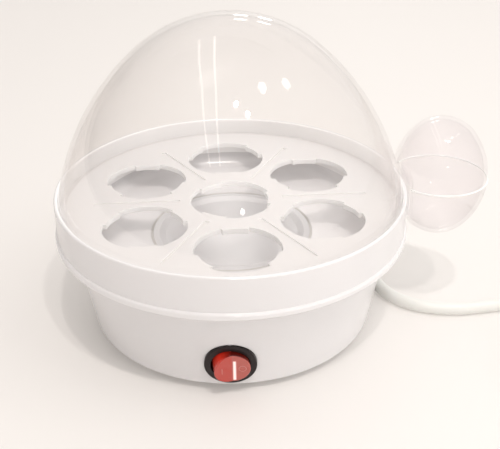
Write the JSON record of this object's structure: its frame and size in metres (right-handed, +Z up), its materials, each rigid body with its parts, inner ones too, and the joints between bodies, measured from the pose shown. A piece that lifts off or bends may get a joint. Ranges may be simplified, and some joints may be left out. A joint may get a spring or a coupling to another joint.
{
  "type": "egg cooker",
  "caption": "Round electric egg cooker: clear egg-shaped dome lid with a hollow egg-shaped side grip, holed egg tray, heated water basin and flared base with a rocker switch and cord.",
  "frame": {"origin": "on the cooker's axis, at the table under the feet", "axes": "+Z up along the axis, -Y towards the switch, +X towards the lid's grip"},
  "size_m": [0.3275, 0.2368, 0.1532],
  "materials": {
    "white_plastic": "smooth, slightly glossy, warm white",
    "cover_plastic": "fine satin, warm white",
    "clear_plastic": "clear and glossy",
    "black_plastic": "satin black",
    "red_plastic": "see-through red, glossy",
    "lamp_glass": "clear glass",
    "aluminium": "turned and coated",
    "steel": "bright zinc",
    "brass": "plain, plated where it shows",
    "ceramic": "dull",
    "rubber": "matt grey",
    "seal_rubber": "matt light grey",
    "cord_vinyl": "satin warm white",
    "clamp_plastic": "dull dark grey",
    "brown_lead": "satin",
    "blue_lead": "satin",
    "green_lead": "satin"
  },
  "bodies": {
    "base": {"base_housing": "white_plastic", "bottom_cover": "cover_plastic", "bracket_screws": "steel", "clamp_screws": "steel", "cord_clamp": "clamp_plastic", "cord_coil": "cord_vinyl", "cord_gland": "cord_vinyl", "cord_inner_end": "cord_vinyl", "cord_tail": "cord_vinyl", "cover_screws": "steel", "earth_clips": "brass", "earth_core": "green_lead", "element_terminals": "brass", "fuse_clip": "steel", "heater_bracket": "steel", "heater_lead": "brown_lead", "heating_element": "steel", "heating_plate": "aluminium", "live_core": "brown_lead", "neutral_core": "blue_lead", "plate_seal": "seal_rubber", "plug_body": "cord_vinyl", "plug_pins": "brass", "power_cord": "cord_vinyl", "rubber_feet": "rubber", "switch_housing": "black_plastic", "switch_lamp": "lamp_glass", "switch_terminals": "brass", "switched_lead": "brown_lead", "thermal_fuse": "ceramic", "thermostat": "steel", "thermostat_terminals": "brass", "upper_ring": "white_plastic"},
    "tray": {"egg_tray": "white_plastic"},
    "lid": {"lid_dome": "clear_plastic", "grip_lower_shell": "clear_plastic"},
    "rocker": {"switch_rocker": "red_plastic"}
  },
  "joints": [
    {"name": "tray_lift", "type": "slide", "parent": "base", "child": "tray", "axis": [0, 0, 1], "range_m": [0, 0.08]},
    {"name": "lid_lift", "type": "slide", "parent": "tray", "child": "lid", "axis": [0, 0, 1], "range_m": [0, 0.12]},
    {"name": "rocker_tip", "type": "hinge", "parent": "base", "child": "rocker", "pos_m": [0, -0.0716, 0.01736], "axis": [0, 0.1632, -0.9866], "range_deg": [0, 20]}
  ]
}
